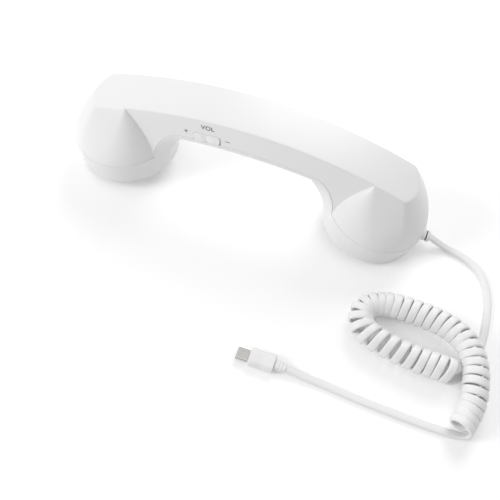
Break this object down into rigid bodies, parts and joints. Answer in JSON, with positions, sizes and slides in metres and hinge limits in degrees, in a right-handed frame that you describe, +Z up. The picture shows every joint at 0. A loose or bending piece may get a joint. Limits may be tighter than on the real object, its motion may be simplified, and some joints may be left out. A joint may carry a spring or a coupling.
{
  "type": "telephone handset",
  "caption": "Corded retro telephone handset for a mobile phone: arched square handle between round ear and mouth cups, side volume rocker, curly cord and slim plug.",
  "frame": {"origin": "on the table midway between the two cups, under the middle of the handle, with the handset lying on the rims of its cups", "axes": "+X along the handle towards the mouthpiece and the cord, +Y away from the volume rocker, +Z up"},
  "size_m": [0.2667, 0.1443, 0.0648],
  "materials": {
    "shell_plastic": "satin white injection moulded ABS",
    "key_plastic": "satin white",
    "cap_plastic": "satin white",
    "cord_jacket": "smooth white elastomer jacket",
    "gland_rubber": "soft light grey",
    "black_plastic": "moulded black",
    "foam": "closed cell foam",
    "paper_cone": "treated paper",
    "board_green": "glass fibre board with solder mask",
    "steel": "plain",
    "plug_metal": "bright nickel plating",
    "lead_red": "insulated wire",
    "lead_black": "insulated wire"
  },
  "bodies": {
    "handset": {"back_shell": "shell_plastic", "front_shell": "shell_plastic", "ear_cap": "cap_plastic", "mouth_cap": "cap_plastic", "speaker_gasket": "foam", "speaker_frame": "steel", "speaker_magnet": "steel", "speaker_cone": "paper_cone", "mic_boot": "gland_rubber", "mic_capsule": "steel", "circuit_board": "board_green", "audio_chip": "black_plastic", "volume_switch_up": "black_plastic", "volume_switch_down": "black_plastic", "answer_switch": "black_plastic", "handle_weight": "steel", "cord_grommet": "gland_rubber", "cord_clamp": "steel", "ear_screw_near": "steel", "ear_screw_far": "steel", "mouth_screw_near": "steel", "mouth_screw_far": "steel", "board_screw_ear": "steel", "board_screw_mouth": "steel", "weight_screw": "steel", "clamp_screw_near": "steel", "clamp_screw_far": "steel", "speaker_lead": "lead_red", "mic_lead": "lead_black", "inner_cord": "cord_jacket", "cord_lead": "cord_jacket", "cord_coil": "cord_jacket", "cord_tail": "cord_jacket", "plug_boot": "cord_jacket", "plug_relief": "cord_jacket", "plug_shell": "plug_metal", "plug_insert": "black_plastic"},
    "rocker": {"volume_rocker": "key_plastic"},
    "answer_key": {"answer_button": "key_plastic"}
  },
  "joints": [
    {"name": "volume_tilt", "type": "hinge", "parent": "handset", "child": "rocker", "pos_m": [-0.023, -0.0109, 0.0511], "axis": [-0.0932, 0.1219, 0.9882], "range_deg": [-2, 2], "stiffness_Nm_per_rad": 0.4},
    {"name": "answer_press", "type": "slide", "parent": "handset", "child": "answer_key", "axis": [0, 0, 1], "range_m": [0, 0.0005], "stiffness_N_per_m": 900}
  ]
}
